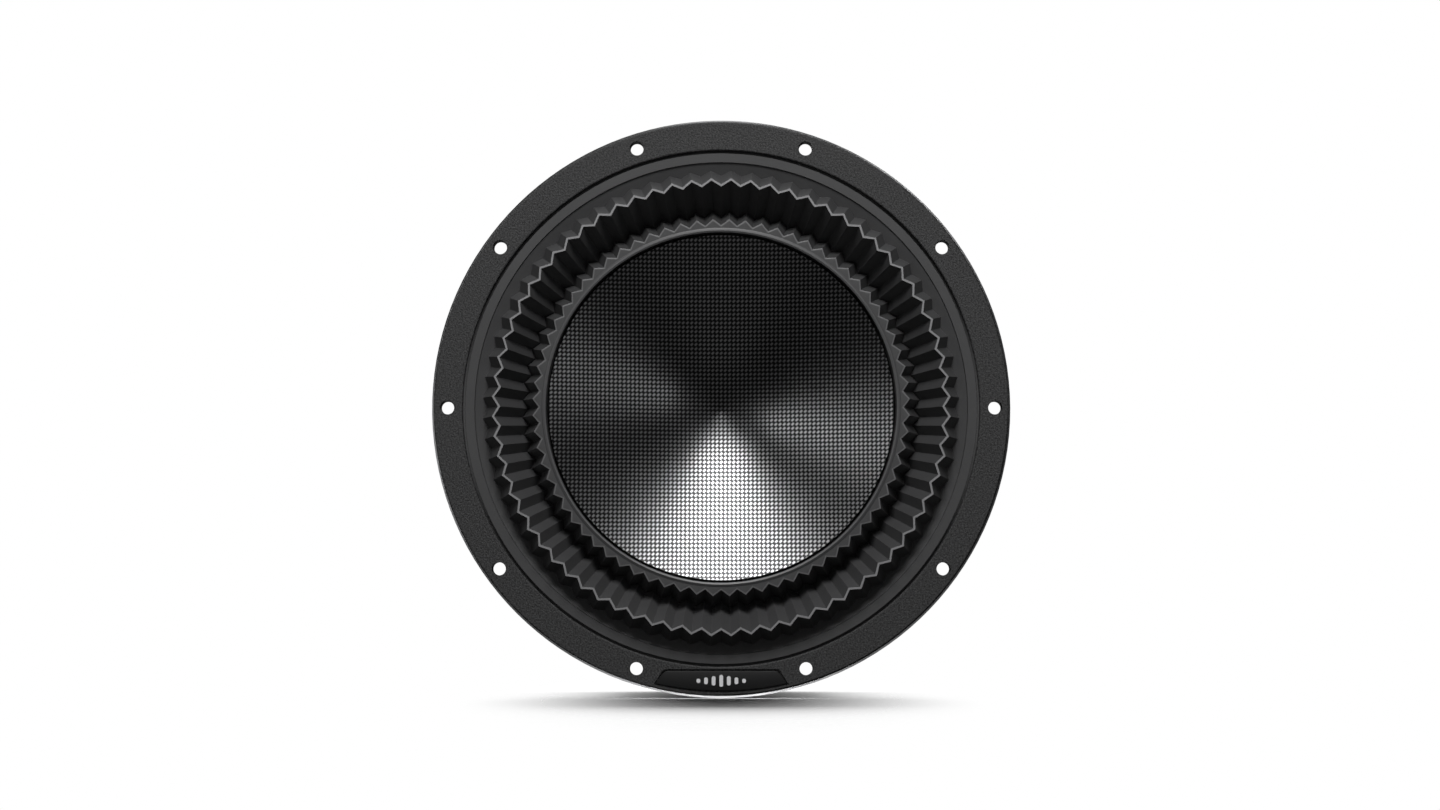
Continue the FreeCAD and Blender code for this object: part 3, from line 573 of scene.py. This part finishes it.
def pieceFrom(name, bm, body, slot, replaced, sharpDegrees=30.0):
    # welds a mesh, turns its normals outwards, gives it its finish, and makes it ride on its body
    bmesh.ops.remove_doubles(bm, verts=bm.verts, dist=weldWithin)
    bmesh.ops.recalc_face_normals(bm, faces=bm.faces)
    mesh = bpy.data.meshes.new(name)
    bm.to_mesh(mesh)
    bm.free()
    piece = bpy.data.objects.new(name, mesh)
    bpy.context.scene.collection.objects.link(piece)
    mesh.shade_smooth()
    mesh.set_sharp_from_angle(angle=math.radians(sharpDegrees))
    mesh.materials.append(finishes[slot])
    if body:
        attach(piece, body)
    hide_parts(*replaced)
    print("made", name, len(mesh.polygons), "faces")
    return piece


def addProfile(bm, points):
    # an open line of (radius, depth) points in millimetres, in the plane z = 0
    corners = [bm.verts.new((radius * mm, depth * mm, 0)) for radius, depth in points]
    return corners, [bm.edges.new(pair) for pair in zip(corners, corners[1:])]


def spinRound(bm, geometry, steps):
    bmesh.ops.spin(bm, geom=geometry, cent=(0, 0, 0), axis=(0, 1, 0), angle=2 * math.pi, steps=steps,
                   use_merge=True, use_duplicate=False)


def radialBlend(piece, still, moving, flexStart, flexEnd):
    # a ring that flexes: weight 0 at flexStart from the axis, 1 at flexEnd, eased at both ends
    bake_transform(piece, still, moving, start=(flexStart * mm, 0, 0), end=(flexEnd * mm, 0, 0))
    weights = piece.data.attributes["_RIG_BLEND"].data
    for vertex in piece.data.vertices:
        radius = math.hypot(vertex.co.x, vertex.co.z) / mm
        share = min(1.0, max(0.0, (radius - flexStart) / (flexEnd - flexStart)))
        weights[vertex.index].value = share * share * (3 - 2 * share)


surroundShape = {
    "pleats": 72,
    "wall": 1.3,
    "edgeRound": 0.42,
    "foldAngle": 14.0,  # folds sharper than this are rounded
    # radius at a pleat's outer point, radius at its inner point, depth; from outer land to bead
    "rows": [
        (121.8, 121.8, -5.05), (121.8, 121.8, -7.2), (117.6, 117.6, -7.2), (117.2, 117.2, -6.3),
        (115.4, 115.4, -5.7), (113.7, 111.4, -4.6), (108.7, 105.7, -17.75), (107.6, 104.6, -17.85),
        (95.3, 92.2, 3.4), (89.8, 86.8, -11.85), (89.0, 86.0, -12.0), (85.5, 85.5, -12.0),
        (84.95, 84.95, -12.2), (84.2, 84.2, -12.7), (83.45, 83.45, -12.3), (83.2, 83.2, -11.6),
        (83.2, 83.2, -9.1),
    ],
    # the pale edge colour is a painted highlight, strongest on the crests
    "crestDepth": -17.2,  # the edges in front of this, and of the inner land's lip, are the palest
    "lipFront": -11.98,
    "lipBack": -11.3,
    "lipInner": 86.0,
    "lipOuter": 90.5,
    # how strong the painted highlight is on the rounded folds, the bead and the lip
    "foldHighlight": 0.2,
    "beadDepth": -12.4,
    "beadRadius": 84.9,
    "beadHighlight": 0.18,
    "lipHighlight": 0.35,
    "flexOuter": 115.0,
    "flexInner": 88.0,
}


def makeSurround():
    shape = surroundShape
    bm = bmesh.new()
    row = bm.verts.layers.int.new("row")
    paintedHighlight = bm.faces.layers.float.new("paintedEdgeHighlight")
    corners, line = addProfile(bm, [(inner, depth) for outer, inner, depth in shape["rows"]])
    for index, corner in enumerate(corners):
        corner[row] = index
    halfPleat = math.pi / shape["pleats"]
    for step in range(1, 2 * shape["pleats"] + 1):
        grown = bmesh.ops.extrude_edge_only(bm, edges=line)["geom"]
        turn = Matrix.Rotation(halfPleat * step, 3, "Y")
        for corner in [part for part in grown if isinstance(part, bmesh.types.BMVert)]:
            outer, inner, depth = shape["rows"][corner[row]]
            radius = outer if step % 2 else inner
            corner.co = turn @ Vector((radius, depth, 0)) * mm
        line = [part for part in grown if isinstance(part, bmesh.types.BMEdge)
                and abs(part.verts[0][row] - part.verts[1][row]) == 1]
    bmesh.ops.remove_doubles(bm, verts=bm.verts, dist=weldWithin)
    bmesh.ops.recalc_face_normals(bm, faces=bm.faces)
    if sum(face.normal.y for face in bm.faces) > 0:
        bmesh.ops.reverse_faces(bm, faces=bm.faces)
    bmesh.ops.solidify(bm, geom=bm.faces[:], thickness=shape["wall"] * mm)
    foldAngle = math.radians(shape["foldAngle"])
    sharp = [edge for edge in bm.edges if edge.is_manifold and edge.calc_face_angle() > foldAngle]
    rounded = bmesh.ops.bevel(bm, geom=sharp, affect="EDGES", offset=shape["edgeRound"] * mm, segments=2,
                              profile=0.5, material=-1, clamp_overlap=True)["faces"]
    # paint a highlight on the rounded folds, then stronger ones on the crests, the lip and the bead
    for face in rounded:
        face[paintedHighlight] = shape["foldHighlight"]
    for face in bm.faces:
        middle = face.calc_center_median() / mm
        radius = math.hypot(middle.x, middle.z)
        onLip = shape["lipInner"] < radius < shape["lipOuter"]
        if middle.y < shape["crestDepth"]:
            face[paintedHighlight] = 1.0
        elif onLip and shape["lipFront"] < middle.y < shape["lipBack"]:
            face[paintedHighlight] = shape["lipHighlight"]
        elif middle.y < shape["beadDepth"] and radius < shape["beadRadius"]:
            face[paintedHighlight] = shape["beadHighlight"]
    piece = pieceFrom("pleatedSurround", bm, None, "surround_rubber", ["surround"], sharpDegrees=50)
    radialBlend(piece, "frame", "cone", shape["flexOuter"], shape["flexInner"])
    normals = piece.modifiers.new("facets", "WEIGHTED_NORMAL")
    normals.keep_sharp = True


def dishLine(startRadius, startDepth):
    # from the edge inwards: straight, then a shallow bowl down to a blunt point
    slope = math.radians(dishShape["slope"])
    apexSlope = math.radians(dishShape["apexSlope"])
    bowl = dishShape["bowlRadius"]
    touch = bowl * (math.sin(slope) - math.sin(apexSlope))
    touchDepth = startDepth + (startRadius - touch) * math.tan(slope)
    points = [(startRadius, startDepth)]
    for step in range(dishShape["bowlSteps"] + 1):
        angle = slope + (apexSlope - slope) * step / dishShape["bowlSteps"]
        points.append((bowl * (math.sin(angle) - math.sin(apexSlope)), touchDepth
                       + bowl * (math.cos(angle) - math.cos(slope))))
    return points


def makeDish():
    bm = bmesh.new()
    front = dishLine(dishShape["edge"], dishShape["edgeDepth"])
    back = dishLine(dishShape["edge"] - dishShape["seat"], dishShape["backDepth"])
    outline = front[::-1] + [(dishShape["edge"], dishShape["backDepth"])] + back
    corners, line = addProfile(bm, outline)
    spinRound(bm, corners + line, dishShape["around"])
    pieceFrom("wovenDish", bm, "cone", "dish_weave", ["cone_dish"], sharpDegrees=40)


spiderShape = {"inner": 32.15, "outer": 80.9, "middle": 59.6, "wall": 0.8, "firstWave": 36.8,
               "waveWidth": 4.133, "waves": 9, "waveHeight": 2.0, "innerFlat": 1.5, "outerFlat": 1.2,
               "stepsPerWave": 8, "around": 144}


def makeSpider():
    shape = spiderShape
    lastWave = shape["firstWave"] + shape["waveWidth"] * shape["waves"]
    radii = [shape["inner"], shape["firstWave"] - shape["innerFlat"]]
    radii += [shape["firstWave"] + shape["waveWidth"] * step / shape["stepsPerWave"]
              for step in range(shape["stepsPerWave"] * shape["waves"] + 1)]
    radii += [lastWave + shape["outerFlat"], shape["outer"]]
    front = []
    back = []
    for radius in radii:
        turn = math.pi * (radius - shape["firstWave"]) / shape["waveWidth"]
        waving = shape["firstWave"] <= radius <= lastWave
        depth = shape["middle"] + (shape["waveHeight"] * math.sin(turn) if waving else 0)
        slope = shape["waveHeight"] * math.pi / shape["waveWidth"] * math.cos(turn) if waving else 0
        slope = 0 if radius in (shape["firstWave"], lastWave) else slope
        length = math.hypot(1, slope)
        half = shape["wall"] / 2
        front.append((radius + half * slope / length, depth - half / length))
        back.append((radius - half * slope / length, depth + half / length))
    bm = bmesh.new()
    corners, line = addProfile(bm, front + back[::-1])
    line.append(bm.edges.new((corners[-1], corners[0])))
    spinRound(bm, corners + line, shape["around"])
    piece = pieceFrom("wavedSpider", bm, None, "spider_cloth", ["spider"], sharpDegrees=40)
    radialBlend(piece, "frame", "cone", lastWave, shape["firstWave"])


blockPlace = {"left": 198.0, "right": 342.0, "middle": 51.5}


def atBlock(place, radial, side, depth):
    # a point by distance out from the axis, distance to the side, and depth, at a terminal block
    angle = math.radians(blockPlace[place])
    return Vector((radial * math.cos(angle) - side * math.sin(angle), depth,
                   radial * math.sin(angle) + side * math.cos(angle))) * mm


def sideOf(place, node):
    # which side of its block a CAD node is on, in millimetres
    low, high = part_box(node)
    angle = math.radians(blockPlace[place])
    middle = (Vector(low) + Vector(high)) / 2 / mm
    return middle.dot(Vector((-math.sin(angle), 0, math.cos(angle))))


def sweepRound(bm, path, radiusMm, sides, plaits=1, plaitsPerMm=0.0):
    # a round tube along a line of points, with caps; its UV counts plaits round it and along it
    layer = bm.loops.layers.uv.verify()
    rings = []
    travelled = 0.0
    upright = Vector((0, 1, 0))
    for index, point in enumerate(path):
        ahead = (path[min(index + 1, len(path) - 1)] - path[max(index - 1, 0)]).normalized()
        across = ahead.cross(upright).normalized()
        over = across.cross(ahead)
        if index:
            travelled += (point - path[index - 1]).length / mm
        ring = []
        for side in range(sides):
            angle = 2 * math.pi * side / sides
            ring.append(bm.verts.new(point + (across * math.cos(angle) + over * math.sin(angle))
                                     * radiusMm * mm))
        rings.append((ring, travelled))
    for (first, start), (second, end) in zip(rings, rings[1:]):
        for side in range(sides):
            after = (side + 1) % sides
            face = bm.faces.new((first[side], first[after], second[after], second[side]))
            marks = ((side, start), (side + 1, start), (side + 1, end), (side, end))
            for loop, (turned, length) in zip(face.loops, marks):
                loop[layer].uv = (turned / sides * plaits, length * plaitsPerMm)
    bm.faces.new(rings[0][0][::-1])
    bm.faces.new(rings[-1][0])


leadShape = {"coupler": 36.15, "couplerDepth": 54.7, "tag": 79.2, "tagDepth": 51.5, "bow": 7.0,
             "radius": 0.95, "steps": 60, "sides": 12, "plaits": 6, "plaitsPerMm": 1.0,
             "flexInner": 36.8, "flexOuter": 77.5}


def leadPoint(place, side, share):
    shape = leadShape
    start = atBlock(place, shape["coupler"], side, shape["couplerDepth"])
    end = atBlock(place, shape["tag"], side, shape["tagDepth"])
    point = start.lerp(end, share)
    point.y -= shape["bow"] * mm * (1 - (2 * share - 1) ** 2)
    return point


def makeLead(place):
    shape = leadShape
    bm = bmesh.new()
    for row in ("upper", "lower"):
        side = sideOf(place, "spring_%s_%s" % (place, row))
        path = [leadPoint(place, side, step / shape["steps"]) for step in range(shape["steps"] + 1)]
        sweepRound(bm, path, shape["radius"], shape["sides"], shape["plaits"], shape["plaitsPerMm"])
    piece = pieceFrom("braidedLeads" + place.capitalize(), bm, None, "tinsel", ["tinsel_leads_" + place],
                      sharpDegrees=50)
    radialBlend(piece, "frame", "cone", shape["flexOuter"], shape["flexInner"])


springShape = {"inner": 86.35, "outer": 95.2, "coil": 2.2, "wire": 0.34, "turns": 6, "endTurn": 0.8,
               "stepsPerTurn": 18, "sides": 8, "keep": 5 / 9}


def makeSpring(place, row):
    shape = springShape
    node = "spring_%s_%s" % (place, row)
    side = sideOf(place, node)
    steps = shape["turns"] * shape["stepsPerTurn"]
    run = shape["outer"] - shape["inner"] - 2 * shape["wire"]
    path = []
    for step in range(steps + 1):
        share = step / steps
        # the end turns lie flat
        climb = (share * shape["turns"] - shape["endTurn"]) / (shape["turns"] - 2 * shape["endTurn"])
        radial = shape["inner"] + shape["wire"] + run * min(1.0, max(0.0, climb))
        angle = 2 * math.pi * share * shape["turns"]
        path.append(atBlock(place, radial, side + shape["coil"] * math.cos(angle),
                            blockPlace["middle"] + shape["coil"] * math.sin(angle)))
    bm = bmesh.new()
    sweepRound(bm, path, shape["wire"], shape["sides"])
    piece = pieceFrom("coiledSpring%s%s" % (place.capitalize(), row.capitalize()), bm, "frame",
                      "spring_steel", [node], sharpDegrees=60)
    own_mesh(piece)


badgeShape = {"seam": 0.45, "edgeRound": 0.35, "flatAngle": 2.0, "frontWithin": 0.01}


def makeBadge():
    # the badge plate with its edge rounded, a little smaller than its recess so that a seam shows
    bm = bmesh.new()
    bm.from_mesh(nodes["badge_plate"].data)
    low, high = (Vector(corner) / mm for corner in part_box("badge_plate"))
    middle = (low + high) / 2 * mm
    size = high - low
    for corner in bm.verts:
        corner.co.x = middle.x + (corner.co.x - middle.x) * (1 - 2 * badgeShape["seam"] / size.x)
        corner.co.z = middle.z + (corner.co.z - middle.z) * (1 - 2 * badgeShape["seam"] / size.z)
    bmesh.ops.remove_doubles(bm, verts=bm.verts, dist=weldWithin)
    bmesh.ops.dissolve_limit(bm, angle_limit=math.radians(badgeShape["flatAngle"]), verts=bm.verts,
                             edges=bm.edges)
    frontEnd = (low.y + badgeShape["frontWithin"]) * mm
    front = [edge for edge in bm.edges if all(corner.co.y < frontEnd for corner in edge.verts)]
    bmesh.ops.bevel(bm, geom=front, affect="EDGES", offset=badgeShape["edgeRound"] * mm, segments=2,
                    profile=0.5, material=-1, clamp_overlap=True)
    pieceFrom("badgePlate", bm, "frame", "badge_plastic", ["badge_plate"])


def showCadNodes():
    # the CAD pieces whose shapes stay get their finishes
    slots = {entry["node"]: entry["material_slot"] for entry in frame["record"]["subparts"]}
    for name, node in nodes.items():
        node.data.materials.clear()
        node.data.materials.append(finishes[slots[name]])


def makeFloor():
    bm = bmesh.new()
    bmesh.ops.create_grid(bm, x_segments=1, y_segments=1, size=stage["floorHalf"] * mm)
    bmesh.ops.translate(bm, verts=bm.verts, vec=(0, 0, cadLow.z - stage["floorDrop"] * mm))
    mesh = bpy.data.meshes.new("floor")
    bm.to_mesh(mesh)
    bm.free()
    floor = bpy.data.objects.new("floor", mesh)
    bpy.context.scene.collection.objects.link(floor)
    material = bpy.data.materials.new("paleFloor")
    material.use_nodes = True
    tree = material.node_tree
    tree.nodes.clear()
    output = tree.nodes.new("ShaderNodeOutputMaterial")
    place = tree.nodes.new("ShaderNodeTexCoord")
    squeezed = addNode(tree, "ShaderNodeVectorMath", {1: (stage["floorSqueeze"], 1, 0)},
                       operation="MULTIPLY")
    join(tree, place, "Object", squeezed, 0)
    distance = addNode(tree, "ShaderNodeVectorMath", operation="LENGTH")
    join(tree, squeezed, "Vector", distance, "Vector")
    fade = addNode(tree, "ShaderNodeMapRange", {"From Min": stage["floorFadeStart"] * mm,
                                                "From Max": stage["floorFadeEnd"] * mm},
                   interpolation_type="SMOOTHSTEP")
    join(tree, distance, "Value", fade, "Value")
    white = stage["floorWhite"]
    paper = addNode(tree, "ShaderNodeBsdfDiffuse", {"Color": (white, white, white, 1)})
    clear = tree.nodes.new("ShaderNodeBsdfTransparent")
    mix = tree.nodes.new("ShaderNodeMixShader")
    join(tree, fade, "Result", mix, "Fac")
    join(tree, paper, "BSDF", mix, 1)
    join(tree, clear, "BSDF", mix, 2)
    join(tree, mix, "Shader", output, "Surface")
    mesh.materials.append(material)
    floor.visible_glossy = False
    floor.visible_diffuse = False
    floor.visible_shadow = False


def setWorld():
    # white behind the driver, and a dim room for everything that lights it
    world = bpy.data.worlds.new("studio")
    bpy.context.scene.world = world
    world.use_nodes = True
    tree = world.node_tree
    tree.nodes.clear()
    output = tree.nodes.new("ShaderNodeOutputWorld")
    room = addNode(tree, "ShaderNodeBackground", {"Color": (1, 1, 1, 1), "Strength": stage["worldGlow"]})
    white = addNode(tree, "ShaderNodeBackground", {"Color": (1, 1, 1, 1), "Strength": 1.0})
    path = tree.nodes.new("ShaderNodeLightPath")
    mix = tree.nodes.new("ShaderNodeMixShader")
    join(tree, path, "Is Camera Ray", mix, "Fac")
    join(tree, room, "Background", mix, 1)
    join(tree, white, "Background", mix, 2)
    join(tree, mix, "Shader", output, "Surface")
    bpy.context.scene.view_settings.view_transform = "Standard"


setCamera()
makeFloor()
setWorld()
showCadNodes()
makeSurround()
makeDish()
makeBadge()
makeSpider()
for place in ("left", "right"):
    makeLead(place)
    for row in ("upper", "lower"):
        makeSpring(place, row)
print("pieces in place")
for lightName, spec in softboxes.items():
    placeLight(lightName, spec)
